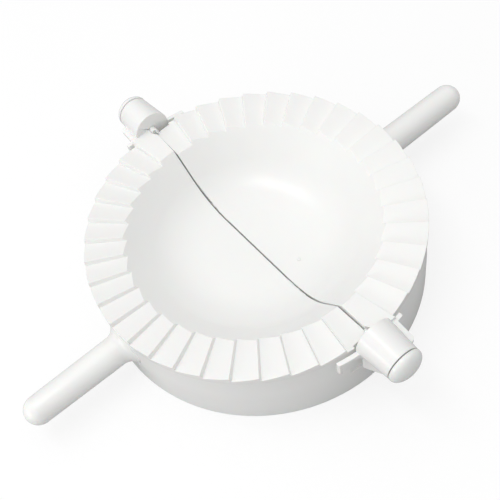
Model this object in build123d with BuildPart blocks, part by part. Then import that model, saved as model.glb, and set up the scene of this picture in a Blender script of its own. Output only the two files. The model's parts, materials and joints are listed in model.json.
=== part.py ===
"""Empanada press: two identical moulded halves that fold together about one hinge line.

The press lies open on its base. The hinge line runs along X, the two handles point along Y,
and Z is up from the table. Each half carries a hinge barrel at one end and a hinge stub at
the other, so each barrel turns on the stub of the opposite half, and a domed cap pushed on
the end of that stub keeps the two together.
"""

import os
from math import atan2, cos, hypot, radians, sin, sqrt, tan

from build123d import *

os.makedirs("parts", exist_ok=True)

# Driving dimensions, mm
rim_radius = 90.0           # outer edge of the crimping rim
mouth_radius = 67.1         # inner edge of the rim at the roots, where the bowl starts
hinge_height = 44.0         # hinge axis above the table
split_gap = 0.6             # between the two halves when the press lies open
mating_clearance = 0.2      # each rim stops this far short of the hinge plane

# Crimping teeth
pitch = 9.0                 # angle of one tooth, and of the plain land at each end
tooth_count = 18            # teeth on one half
tooth_rise = 2.6            # from root to crest at the outer edge
flank_run = 0.9             # width of the steep flank at the outer edge
flank_clearance = 0.3       # between meshing flanks at the outer edge
rim_fall = 1.65             # the inner edge of the rim lies this much lower
rim_thickness = 2.8         # rim plate below the roots of the teeth

# Bowl, skirt and the ribs under the bowl
bowl_depth = 27.0           # floor of the bowl below the hinge axis
floor_radius = 28.0         # flat part of the floor
bowl_arc = 38.0             # radius of the curve from the floor to the straight upper side
wall = 2.2                  # thickness of the bowl
skirt_top_radius = 88.4
skirt_foot_radius = 91.4
skirt_wall = 2.4
end_wall = 2.2              # straight wall along the split, under the bowl
rib_thickness = 1.8
rib_foot = 3.0              # ribs stop this far above the table
rib_start = 46.0            # radius where the ribs begin
rib_angles = (30, 60, 120, 150)

# Handle
handle_height = 22.3        # its axis above the table
handle_root_radius = 8.3
handle_tip_radius = 7.9
handle_reach = 151.0        # tip of the handle from the hinge line
handle_flare = 6.2          # radius of the flare where it meets the skirt

# Hinge barrel, stub and cap
stub_radius = 2.0
running_clearance = 0.05
stub_start = 85.6           # thin end of the stub's root, on the low land
barrel_start = 91.0         # inner face of the barrel along X
barrel_end = 110.0
barrel_root_radius = 10.9
barrel_end_radius = 9.5
cap_gap = 0.6               # between the barrel and the domed cap
cap_collar = 2.4            # straight length before the dome
cap_length = 5.8
stub_end = 114.2
land_cut = 88.0             # the low land ends here, clear of the other half's barrel
land_cut_width = 9.8
root_tip_radius = 0.5        # the stub's root tapers to this on the low land
relief_radius = 2.25        # hollow round the other half's stub in the high land
bracket_face = 90.4         # outer face of the bracket under the stub
bracket_depth = 11.0
bracket_thickness = 2.4

# Hinge flange, the flat web that carries the barrel outside the rim
flange_inner_radius = 91.7
flange_outer_radius = 94.0
arm_reach = 21.5            # how far the hooked arm runs past the hinge line
tail_reach = 17.5           # how far the flange runs on its own side
tail_top = -0.3             # heights from here on are measured from the hinge axis
tail_underside = -4.3
hook_top = -1.5
arch_top = -3.8             # underside of the hooked arm where it is thinnest
hook_foot = -10.5
hook_thickness = 1.3
hook_arch_radius = 3.8      # the arch of the arm, on the hook's side
web_arch_radius = 8.8       # and on the barrel's side
web_width = 10.2            # half-width of the deep part below the barrel
web_foot = -21.0
strip_edge = 14.0           # outer edge of the flat strip beside the barrel
strip_end = 105.0
strip_depth = 2.4
cheek_thickness = 2.0
hook_cheek = -7.0           # the two cheeks under the barrel, measured from the hinge line
tail_cheek = 9.6
cheek_end_depth = -8.0
skirt_relief = 88.6         # flat on the skirt that the other half's hooked arm swings past
skirt_relief_width = 13.0

# Levels worked out from the dimensions above
half_pitch = radians(pitch / 2)
half_gap = split_gap / 2
crest = hinge_height - mating_clearance + tooth_rise / 2
root = crest - tooth_rise
mid_flank = root + tooth_rise * (flank_run - flank_clearance) / (2 * flank_run)
apex = hinge_height - mating_clearance - rim_fall * rim_radius / (rim_radius - mouth_radius)
rim_underside = root - rim_thickness
floor = hinge_height - bowl_depth
handle_wall = (skirt_top_radius + skirt_foot_radius) / 2 - 1.2
tip_centre = handle_reach - handle_tip_radius
hinge_axis = Axis((0, 0, hinge_height), (1, 0, 0))
handle_axis = Axis((0, 0, handle_height), (0, 1, 0))


def on_cone(height, radius):
    """Height at a radius on the cone from the apex through a height at the rim's edge."""
    return apex + (height - apex) * radius / rim_radius


mouth = on_cone(root, mouth_radius)

# The upper side of the bowl is a straight cone from the curve to the mouth, at this slope
arc_height = floor + bowl_arc
to_mouth = hypot(mouth_radius - floor_radius, arc_height - mouth)
side_length = sqrt(to_mouth ** 2 - bowl_arc ** 2)
side_slope = (atan2(bowl_arc, side_length)
              - atan2(arc_height - mouth, mouth_radius - floor_radius))


def bowl_corner(offset):
    """Where the curve of the bowl runs into its straight side, this far outside the face."""
    reach = bowl_arc + offset
    return floor_radius + reach * sin(side_slope), arc_height - reach * cos(side_slope)


def bowl_side(offset, height):
    """Point on the straight side of the bowl at a height, this far outside the face."""
    radius, start = bowl_corner(offset)
    return radius + (height - start) / tan(side_slope), height


def rim_sector(middle, entry, start, end, leave, inner=mouth_radius - 3, outer=rim_radius + 2):
    """One pitch of the rim top: flat facets through the apex, a ramp and half of each flank."""
    along = Vector(-sin(radians(middle)), cos(radians(middle)), 0)
    facing = Vector(cos(radians(middle)), sin(radians(middle)), 0)
    with BuildPart() as sector:
        for radius in (inner, outer):
            scale = radius / rim_radius
            side = radius * sin(half_pitch)
            foot = (flank_run - flank_clearance) / 2 * scale
            lip = (flank_run + flank_clearance) / 2 * scale
            bed = on_cone(root - 1.6, radius)
            section = Plane(origin=facing * radius * cos(half_pitch), x_dir=along, z_dir=facing)
            with BuildSketch(section):
                with BuildLine():
                    Polyline(
                        (-side, bed),
                        (-side, on_cone(entry, radius)),
                        (foot - side, on_cone(start, radius)),
                        (side - lip, on_cone(end, radius)),
                        (side, on_cone(leave, radius)),
                        (side, bed),
                        close=True,
                    )
                make_face()
        loft(ruled=True)
    return sector.part


# High land next to the barrel: the first pitch of the rim, run out to the barrel's inner face
with BuildPart() as high_land:
    add(rim_sector(pitch / 2, crest, crest, crest, mid_flank,
                   inner=rim_radius - 5, outer=barrel_start + 5))
    split(bisect_by=Plane.YZ.offset(barrel_start + 0.3), keep=Keep.BOTTOM)

# Flange that carries the barrel: a band curved round the rim, with a hooked arm on one side
with BuildPart() as flange:
    with BuildSketch(Plane.YZ.offset(rim_radius - 10)):
        with BuildLine():
            arch_middle = hook_thickness + hook_arch_radius - arm_reach
            Polyline(
                (arch_middle + web_arch_radius, hinge_height + arch_top - web_arch_radius),
                (arch_middle + web_arch_radius, hinge_height + web_foot),
                (web_width, hinge_height + web_foot),
                (web_width + 1.2, hinge_height + tail_underside),
                (tail_reach, hinge_height + tail_underside),
                (tail_reach, hinge_height + tail_top),
                (-web_width / 2, hinge_height + tail_top),
                (-web_width / 2, hinge_height + hook_top),
                (-arm_reach, hinge_height + hook_top),
                (-arm_reach, hinge_height + hook_foot),
                (hook_thickness - arm_reach, hinge_height + hook_foot),
                (hook_thickness - arm_reach, hinge_height + arch_top - hook_arch_radius),
            )
            CenterArc((arch_middle, hinge_height + arch_top - hook_arch_radius),
                      hook_arch_radius, 180, -90)
            CenterArc((arch_middle, hinge_height + arch_top - web_arch_radius),
                      web_arch_radius, 90, -90)
        make_face()
    extrude(amount=20)
    with BuildSketch(Plane.XY):
        Circle(flange_outer_radius)
        Circle(flange_inner_radius, mode=Mode.SUBTRACT)
    extrude(amount=hinge_height + 10, mode=Mode.INTERSECT)

# Rear half, on the +Y side. Its barrel is at the +X end and its stub at the -X end.
with BuildPart() as rear_half:
    # Bowl, rim plate and skirt turned round the centre of the press
    with BuildSketch(Plane.XZ):
        with BuildLine():
            under = Line((0, floor - wall), (floor_radius, floor - wall))
            shell = TangentArc(under @ 1, bowl_corner(wall), tangent=(1, 0))
            Polyline(
                shell @ 1,
                bowl_side(wall, rim_underside),
                (skirt_top_radius - skirt_wall, rim_underside),
                (skirt_foot_radius - skirt_wall, 0),
                (skirt_foot_radius, 0),
                (skirt_top_radius, rim_underside),
                (rim_radius + 1, rim_underside),
                (rim_radius + 1, root - 1.4),
                (0, root - 1.4),
                under @ 0,
            )
        make_face()
    revolve(axis=Axis.Z, revolution_arc=180)

    # Straight wall along the split and radial ribs, all hidden under the bowl
    with BuildSketch(Plane.XY):
        Rectangle(2 * (skirt_top_radius - skirt_wall / 2), half_gap + end_wall,
                  align=(Align.CENTER, Align.MIN))
    extrude(amount=rim_underside + 0.4)
    with BuildSketch(Plane.XY.offset(rib_foot)):
        for angle in rib_angles:
            with Locations(Rotation(0, 0, angle)):
                with Locations((rib_start, 0)):
                    Rectangle(skirt_top_radius - skirt_wall / 2 - rib_start, rib_thickness,
                              align=(Align.MIN, Align.CENTER))
    extrude(amount=rim_underside + 0.4 - rib_foot)

    # Rim top: high land, rising teeth, low land
    add(rim_sector(pitch / 2, crest, crest, crest, mid_flank))
    for tooth in range(1, tooth_count + 1):
        add(rim_sector(pitch * (tooth + 0.5), mid_flank, root, crest, mid_flank))
    add(rim_sector(180 - pitch / 2, mid_flank, root, root, root))

    # Root of the stub, half sunk in the low land and tapered inwards
    with BuildSketch(Plane.XZ):
        with BuildLine():
            Polyline(
                (-stub_start, hinge_height),
                (-stub_start, hinge_height + root_tip_radius),
                (-land_cut, hinge_height + stub_radius),
                (-land_cut, hinge_height),
                close=True,
            )
        make_face()
    revolve(axis=hinge_axis)

    # Inside of the bowl, cut up through the teeth
    with BuildSketch(Plane.XZ):
        with BuildLine():
            flat = Line((0, floor), (floor_radius, floor))
            side = TangentArc(flat @ 1, bowl_corner(0), tangent=(1, 0))
            Polyline(side @ 1, bowl_side(0, crest + 3), (0, crest + 3), flat @ 0)
        make_face()
    revolve(axis=Axis.Z, revolution_arc=180, mode=Mode.SUBTRACT)

    # Round outer edge of the rim, then the high land carried out to the barrel
    with BuildSketch(Plane.XY):
        Circle(rim_radius + 8)
        Circle(rim_radius, mode=Mode.SUBTRACT)
    extrude(amount=crest + 3, mode=Mode.SUBTRACT)
    add(high_land.part)

    # Cut back to the split, and at the low land to clear the other half's barrel
    split(bisect_by=Plane.XZ.offset(-half_gap), keep=Keep.BOTTOM)
    with BuildSketch(Plane.XY.offset(rim_underside)):
        with Locations((-land_cut, 0)):
            Rectangle(10, 2 * land_cut_width, align=(Align.MAX, Align.CENTER))
    extrude(amount=crest + 3 - rim_underside, mode=Mode.SUBTRACT)

    # Flat on the skirt below, where the other half's hooked arm swings past
    with BuildSketch(Plane.XY.offset(hinge_height - arm_reach - 3.5)):
        with Locations((-skirt_relief, 0)):
            Rectangle(10, 2 * skirt_relief_width, align=(Align.MAX, Align.CENTER))
    extrude(amount=rim_underside - hinge_height + arm_reach + 3.5, mode=Mode.SUBTRACT)

    # Hollow in the high land for the root of the other half's stub
    with BuildSketch(Plane.XZ):
        with BuildLine():
            Polyline(
                (stub_start - 0.4, hinge_height),
                (stub_start - 0.4, hinge_height + root_tip_radius + 0.25),
                (land_cut - 0.2, hinge_height + relief_radius),
                (barrel_start + 0.4, hinge_height + relief_radius),
                (barrel_start + 0.4, hinge_height),
                close=True,
            )
        make_face()
    revolve(axis=hinge_axis, mode=Mode.SUBTRACT)

    # Barrel on its flange, cheeks under it and the flat strip along its side
    with BuildSketch(Plane.XZ):
        with BuildLine():
            Polyline(
                (barrel_start, hinge_height),
                (barrel_end, hinge_height),
                (barrel_end, hinge_height + barrel_end_radius),
                (barrel_start, hinge_height + barrel_root_radius),
                close=True,
            )
        make_face()
    revolve(axis=hinge_axis)
    add(flange.part)
    for cheek, inner_end in ((hook_cheek, flange_inner_radius), (tail_cheek, skirt_top_radius - 2)):
        with BuildSketch(Plane.XZ.offset(-cheek)):
            with BuildLine():
                Polyline(
                    (inner_end, hinge_height - 2),
                    (inner_end, hinge_height + web_foot),
                    (flange_inner_radius + 1, hinge_height + web_foot),
                    (strip_end, hinge_height + cheek_end_depth),
                    (strip_end, hinge_height - 2),
                    close=True,
                )
            make_face()
        extrude(amount=cheek_thickness / 2, both=True)
    with BuildSketch(Plane.XY.offset(hinge_height + tail_top)):
        with BuildLine():
            Polyline(
                (flange_inner_radius - 1, 8.5),
                (strip_end, 8.5),
                (strip_end, strip_edge - 0.8),
                (flange_inner_radius - 1, strip_edge),
                close=True,
            )
        make_face()
        fillet(vertices().group_by(Axis.X)[-1].sort_by(Axis.Y)[-1], radius=2.6)
    extrude(amount=-strip_depth)
    with BuildSketch(Plane.YZ.offset(barrel_start)):
        with Locations((0, hinge_height)):
            Circle(stub_radius + running_clearance)
    extrude(amount=barrel_end - barrel_start + 1, mode=Mode.SUBTRACT)

    # Stub that the other half's barrel turns on, and the bracket under its root
    with BuildSketch(Plane.YZ.offset(-land_cut)):
        with Locations((0, hinge_height)):
            Circle(stub_radius)
    extrude(amount=land_cut - stub_end)
    with BuildSketch(Plane.XZ.offset(-half_gap)):
        with BuildLine():
            Polyline(
                (1.2 - land_cut, root),
                (-bracket_face, root),
                (-bracket_face, hinge_height - bracket_depth / 2),
                (-land_cut, hinge_height - bracket_depth),
                (1.2 - land_cut, hinge_height - bracket_depth),
                close=True,
            )
        make_face()
    extrude(amount=-bracket_thickness)

    # Handle, flared into the skirt
    with BuildSketch(Plane.YZ):
        with BuildLine():
            flare_radius = handle_root_radius + handle_flare
            Polyline(
                (handle_wall - 0.9, handle_height),
                (handle_wall - 0.9, handle_height + flare_radius),
                (handle_wall, handle_height + flare_radius),
            )
            flare = CenterArc((handle_wall + handle_flare, handle_height + flare_radius),
                              handle_flare, 180, 90)
            shaft = Line(flare @ 1, (tip_centre, handle_height + handle_tip_radius))
            tip = CenterArc((tip_centre, handle_height), handle_tip_radius, 90, -90)
            Line(tip @ 1, (handle_wall - 0.9, handle_height))
        make_face()
    revolve(axis=handle_axis)
rear_half.part.label = "rear_half"

# Front half: the same moulding turned half a turn
with BuildPart() as front_half:
    add(rear_half.part.rotate(Axis.Z, 180))
front_half.part.label = "front_half"

# Domed cap pushed on the end of a stub, hollow round its socket
with BuildPart() as front_hinge_cap:
    cap_start = barrel_end + cap_gap
    with BuildSketch(Plane.XZ):
        with BuildLine():
            dome_start = cap_start + cap_collar
            Polyline(
                (dome_start, hinge_height + barrel_end_radius),
                (cap_start, hinge_height + barrel_end_radius),
                (cap_start, hinge_height + 7.9),
                (dome_start + 0.6, hinge_height + 7.9),
                (dome_start + 1.8, hinge_height + 4.8),
                (cap_start, hinge_height + 4.8),
                (cap_start, hinge_height + stub_radius),
                (stub_end + 0.2, hinge_height + stub_radius),
                (stub_end + 0.2, hinge_height),
                (cap_start + cap_length, hinge_height),
            )
            EllipticalCenterArc((dome_start, hinge_height), cap_length - cap_collar,
                                barrel_end_radius, start_angle=0, arc_size=90)
        make_face()
    revolve(axis=hinge_axis)
front_hinge_cap.part.label = "front_hinge_cap"

with BuildPart() as rear_hinge_cap:
    add(front_hinge_cap.part.rotate(Axis.Z, 180))
rear_hinge_cap.part.label = "rear_hinge_cap"

export_step(rear_half.part, "parts/rear_half.step")
export_step(front_half.part, "parts/front_half.step")
export_step(front_hinge_cap.part, "parts/front_hinge_cap.step")
export_step(rear_hinge_cap.part, "parts/rear_hinge_cap.step")
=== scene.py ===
import json
from math import cos, pi, radians, sin

import bpy
from mathutils import Matrix, Vector


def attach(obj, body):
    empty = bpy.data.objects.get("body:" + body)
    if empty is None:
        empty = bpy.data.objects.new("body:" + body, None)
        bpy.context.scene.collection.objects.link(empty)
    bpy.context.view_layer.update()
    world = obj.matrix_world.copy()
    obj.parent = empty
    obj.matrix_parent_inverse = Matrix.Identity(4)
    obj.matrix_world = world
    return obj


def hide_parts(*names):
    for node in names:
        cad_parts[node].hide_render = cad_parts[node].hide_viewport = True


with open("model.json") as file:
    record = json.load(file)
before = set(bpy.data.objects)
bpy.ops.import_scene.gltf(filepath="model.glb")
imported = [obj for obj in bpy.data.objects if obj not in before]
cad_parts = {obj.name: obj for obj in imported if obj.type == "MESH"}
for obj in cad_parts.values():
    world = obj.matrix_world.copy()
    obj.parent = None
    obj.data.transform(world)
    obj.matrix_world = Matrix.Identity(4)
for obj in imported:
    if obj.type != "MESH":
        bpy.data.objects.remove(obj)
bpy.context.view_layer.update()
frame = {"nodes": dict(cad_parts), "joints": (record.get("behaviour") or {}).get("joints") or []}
nodes = frame["nodes"]
bpy.ops.object.select_all(action="DESELECT")


# Camera above the near hinge, looking down into the bowl. Its aim is the hinge line over the middle
# of the press.
azimuth, elevation, roll = radians(68.294), radians(55.967), radians(-18.896)
turn = (Matrix.Rotation(azimuth, 3, "Z") @ Matrix.Rotation(pi / 2 - elevation, 3, "X")
        @ Matrix.Rotation(roll, 3, "Z"))
hinge_height = frame["joints"][0]["pos_m"][2]
aim = Vector((0, 0, hinge_height))
stand_from_aim = Vector((-0.020261, -0.020503, 0.422966))
stand = aim + turn @ stand_from_aim
bpy.ops.object.camera_add(location=stand, rotation=turn.to_euler())
camera = bpy.context.object
image_size = 500
focal_pixels = 812.353
shift_right, shift_up = 38.637, 10.353
camera.data.sensor_width = 36
camera.data.lens = focal_pixels / image_size * camera.data.sensor_width
camera.data.shift_x = shift_right / image_size
camera.data.shift_y = shift_up / image_size
camera.data.dof.use_dof = False
bpy.context.scene.camera = camera
bpy.context.scene.view_settings.view_transform = "Standard"


# Rear half: one moulding of white polypropylene with its bowl, toothed rim, skirt, handle, hinge
# barrel and stub. The mould leaves every edge slightly round, so the solid's edges are eased.
def white_polypropylene(name, tint, smoothest, dullest):
    """Semi-gloss plastic: faint flow marks in its colour and gloss, and a fine moulded skin."""
    plastic = bpy.data.materials.new(name)
    plastic.use_nodes = True
    parts, links = plastic.node_tree.nodes, plastic.node_tree.links
    shader = parts["Principled BSDF"]
    place = parts.new("ShaderNodeTexCoord")
    flow_scale, flow_mark_tone = 22.0, 0.985
    flow = parts.new("ShaderNodeTexNoise")
    flow.inputs["Scale"].default_value = flow_scale
    flow.inputs["Detail"].default_value = 3.0
    links.new(place.outputs["Object"], flow.inputs["Vector"])
    shade = parts.new("ShaderNodeValToRGB")
    shade.color_ramp.elements[0].position = 0.3
    shade.color_ramp.elements[0].color = (*[c * flow_mark_tone for c in tint], 1)
    shade.color_ramp.elements[1].position = 0.7
    shade.color_ramp.elements[1].color = (*tint, 1)
    links.new(flow.outputs["Fac"], shade.inputs["Fac"])
    links.new(shade.outputs["Color"], shader.inputs["Base Color"])
    gloss = parts.new("ShaderNodeMapRange")
    gloss.inputs["To Min"].default_value = smoothest
    gloss.inputs["To Max"].default_value = dullest
    links.new(flow.outputs["Fac"], gloss.inputs["Value"])
    links.new(gloss.outputs["Result"], shader.inputs["Roughness"])
    skin_scale, skin_depth = 420.0, 0.0001
    skin = parts.new("ShaderNodeTexNoise")
    skin.inputs["Scale"].default_value = skin_scale
    skin.inputs["Detail"].default_value = 2.0
    links.new(place.outputs["Object"], skin.inputs["Vector"])
    bump = parts.new("ShaderNodeBump")
    bump.inputs["Strength"].default_value = 0.12
    bump.inputs["Distance"].default_value = skin_depth
    links.new(skin.outputs["Fac"], bump.inputs["Height"])
    links.new(bump.outputs["Normal"], shader.inputs["Normal"])
    shader.inputs["Subsurface Weight"].default_value = 0.12
    shader.inputs["Subsurface Scale"].default_value = 0.002
    shader.inputs["Specular IOR Level"].default_value = 0.4
    return plastic


merge_distance = 0.000002
flat_enough, sharp_edge, smooth_curve = radians(0.2), radians(28), radians(30)


def moulding(node, name, body, plastic, ease, reshape):
    """The node's solid, reshaped, with its edges eased by this much and curved faces shaded smooth."""
    shell = bpy.data.objects.new(name, nodes[node].data.copy())
    bpy.context.scene.collection.objects.link(shell)
    bpy.ops.object.select_all(action="DESELECT")
    shell.select_set(True)
    bpy.context.view_layer.objects.active = shell
    bpy.ops.object.mode_set(mode="EDIT")
    bpy.ops.mesh.select_all(action="SELECT")
    bpy.ops.mesh.remove_doubles(threshold=merge_distance)
    # Leaving edit mode here rewrites the mesh. Without it the next step gives other faces.
    bpy.ops.object.mode_set(mode="OBJECT")
    bpy.ops.object.mode_set(mode="EDIT")
    bpy.ops.mesh.dissolve_limited(angle_limit=flat_enough)
    bpy.ops.object.mode_set(mode="OBJECT")
    reshape(shell)
    easing = shell.modifiers.new("eased_edges", "BEVEL")
    easing.width = ease
    easing.segments = 2
    easing.limit_method = "ANGLE"
    easing.angle_limit = sharp_edge
    easing.use_clamp_overlap = False
    bpy.ops.object.modifier_apply(modifier=easing.name)
    bpy.ops.object.shade_smooth_by_angle(angle=smooth_curve)
    flat_faces = shell.modifiers.new("flat_faces_stay_flat", "WEIGHTED_NORMAL")
    flat_faces.keep_sharp = True
    bpy.ops.object.modifier_apply(modifier=flat_faces.name)
    shell.data.materials.clear()
    shell.data.materials.append(plastic)
    for face in shell.data.polygons:
        face.material_index = 0
    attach(shell, body)
    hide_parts(node)
    return shell


split_half_gap = 0.0003
split_relief = 0.00012
split_end = 0.0830
on_the_split = 0.00001


def draw_back_split(shell):
    """The split faces stand back a little from the solid's, short of the hinges, so the line reads."""
    for point in shell.data.vertices:
        if abs(abs(point.co.y) - split_half_gap) < on_the_split and abs(point.co.x) < split_end:
            point.co.y *= 1 + split_relief / split_half_gap


white = (0.90, 0.90, 0.885)
edge_ease = 0.00022
body_plastic = white_polypropylene("white_polypropylene", white, 0.20, 0.27)
moulding("rear_half", "rear_moulding", "rear", body_plastic, edge_ease, draw_back_split)


# Gate mark: a small round scar in the floor of the bowl, taken for where the plastic entered the
# mould. It is part of the moulding, a little proud, with a dished middle.
bowl_floor = 0.0170
mark_x, mark_y = 0.021, 0.012
mark_radius, mark_depth, mark_sunk = 0.0010, 0.0010, 0.0001
mark_lip, mark_dish, mark_ease = 0.0003, 0.00035, 0.00007
bpy.ops.object.select_all(action="DESELECT")
bpy.ops.mesh.primitive_cylinder_add(vertices=32, radius=mark_radius, depth=mark_depth,
                                    location=(mark_x, mark_y, bowl_floor - mark_sunk))
gate_mark = bpy.context.object
gate_mark.name = "gate_mark"
bpy.ops.object.mode_set(mode="EDIT")
bpy.ops.mesh.select_all(action="DESELECT")
bpy.ops.object.mode_set(mode="OBJECT")
for face in gate_mark.data.polygons:
    face.select = face.normal.z > 0.9
bpy.ops.object.mode_set(mode="EDIT")
bpy.ops.mesh.inset(thickness=mark_lip)
bpy.ops.transform.translate(value=(0, 0, -mark_dish))
bpy.ops.object.mode_set(mode="OBJECT")
bpy.ops.object.transform_apply(location=True, rotation=True, scale=True)
softened = gate_mark.modifiers.new("softened_rim", "BEVEL")
softened.width = mark_ease
softened.segments = 2
softened.limit_method = "ANGLE"
bpy.ops.object.modifier_apply(modifier=softened.name)
bpy.ops.object.shade_smooth_by_angle(angle=radians(40))
gate_mark.data.materials.append(body_plastic)
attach(gate_mark, "rear")


# Front half: the same moulding turned half a turn, so it gets the same finish.
moulding("front_half", "front_moulding", "front", body_plastic, edge_ease, draw_back_split)


# Hinge caps: small domed caps from their own mould, pushed on the ends of the stubs. They come out
# a little glossier than the halves.
cap_radius = 0.0095
solid_dome_start, solid_dome_end = 0.1130, 0.1164
round_dome_start, round_dome_end = 0.1114, 0.1163
on_the_dome = 0.00003


def round_the_dome(shell):
    """The dome starts nearer to the barrel and swells more evenly up to the same end."""
    for point in shell.data.vertices:
        off_axis = Vector((point.co.y, point.co.z - hinge_height)).length
        swell = max(0.0, 1 - (off_axis / cap_radius) ** 2) ** 0.5
        solid_dome = solid_dome_start + (solid_dome_end - solid_dome_start) * swell
        if abs(abs(point.co.x) - solid_dome) < on_the_dome:
            round_dome = round_dome_start + (round_dome_end - round_dome_start) * swell
            point.co.x *= round_dome / abs(point.co.x)


cap_ease = 0.00018
cap_plastic = white_polypropylene("polished_polypropylene", white, 0.14, 0.20)
moulding("rear_hinge_cap", "rear_cap", "rear", cap_plastic, cap_ease, round_the_dome)
moulding("front_hinge_cap", "front_cap", "front", cap_plastic, cap_ease, round_the_dome)


# Worktop: a pale matt board under the press, large enough to run out of view on every side.
# It is only the place where the press stands.
worktop_size = 12.0
bpy.ops.mesh.primitive_plane_add(size=worktop_size, location=(0, 0, 0))
worktop = bpy.context.object
worktop.name = "worktop"
board = bpy.data.materials.new("pale_board")
board.use_nodes = True
board_nodes, board_links = board.node_tree.nodes, board.node_tree.links
board_shader = board_nodes["Principled BSDF"]
board_shader.inputs["Roughness"].default_value = 0.9
board_shader.inputs["Specular IOR Level"].default_value = 0.1
lighting_tone, seen_tone, seen_glow = 0.55, 0.97, 0.75
board_tone = board_nodes.new("ShaderNodeMix")
board_tone.data_type = "RGBA"
board_tone.inputs["A"].default_value = (lighting_tone, lighting_tone, lighting_tone, 1)
board_tone.inputs["B"].default_value = (seen_tone, seen_tone, seen_tone, 1)
board_links.new(board_tone.outputs["Result"], board_shader.inputs["Base Color"])
board_glow = board_nodes.new("ShaderNodeEmission")
board_glow.inputs["Strength"].default_value = 1.0
seen = board_nodes.new("ShaderNodeLightPath")
board_links.new(seen.outputs["Is Camera Ray"], board_tone.inputs["Factor"])
glow_share = board_nodes.new("ShaderNodeMath")
glow_share.operation = "MULTIPLY"
glow_share.inputs[1].default_value = seen_glow
board_links.new(seen.outputs["Is Camera Ray"], glow_share.inputs[0])
board_mix = board_nodes.new("ShaderNodeMixShader")
board_links.new(glow_share.outputs["Value"], board_mix.inputs["Fac"])
board_links.new(board_shader.outputs["BSDF"], board_mix.inputs[1])
board_links.new(board_glow.outputs["Emission"], board_mix.inputs[2])
board_links.new(board_mix.outputs["Shader"], board_nodes["Material Output"].inputs["Surface"])
worktop.data.materials.append(board)


# Studio: a white surround that lights the press brightly from overhead and hardly from the horizon,
# plain white where it is seen itself. A long softbox hangs high over the press, running along the
# hinge, and a second one stands low in front of it.
world = bpy.data.worlds.new("studio")
bpy.context.scene.world = world
world.use_nodes = True
sky_nodes, sky_links = world.node_tree.nodes, world.node_tree.links
horizon_level, overhead_level = 0.06, 1.20
surround = sky_nodes["Background"]
surround.inputs["Color"].default_value = (1, 1, 1, 1)
sky_place = sky_nodes.new("ShaderNodeTexCoord")
sky_split = sky_nodes.new("ShaderNodeSeparateXYZ")
sky_level = sky_nodes.new("ShaderNodeMapRange")
sky_level.inputs["To Min"].default_value = horizon_level
sky_level.inputs["To Max"].default_value = overhead_level
sky_links.new(sky_place.outputs["Generated"], sky_split.inputs["Vector"])
sky_links.new(sky_split.outputs["Z"], sky_level.inputs["Value"])
sky_seen = sky_nodes.new("ShaderNodeLightPath")
sky_white = sky_nodes.new("ShaderNodeMix")
sky_white.inputs["B"].default_value = 1.0
sky_links.new(sky_seen.outputs["Is Camera Ray"], sky_white.inputs["Factor"])
sky_links.new(sky_level.outputs["Result"], sky_white.inputs["A"])
sky_links.new(sky_white.outputs["Result"], surround.inputs["Strength"])


softbox_distance = 1.2


def softbox(name, azimuth, elevation, run, length, width, watts):
    """A rectangular lamp that faces the press from that direction, its length along run."""
    a, e = radians(azimuth), radians(elevation)
    away = Vector((cos(a) * cos(e), sin(a) * cos(e), sin(e)))
    along = Vector(run)
    along = (along - away * along.dot(away)).normalized()
    facing = Matrix((along, away.cross(along), away)).transposed()
    bpy.ops.object.light_add(type="AREA", location=away * softbox_distance, rotation=facing.to_euler())
    lamp = bpy.context.object
    lamp.name = name
    lamp.data.shape = "RECTANGLE"
    lamp.data.size, lamp.data.size_y = length, width
    lamp.data.energy = watts


softbox("overhead_softbox", -120, 74, (1, 0.12, 0), 0.8, 0.22, 2.4)
softbox("front_softbox", -90, 12, (1, 0, 0), 0.9, 0.4, 3.8)
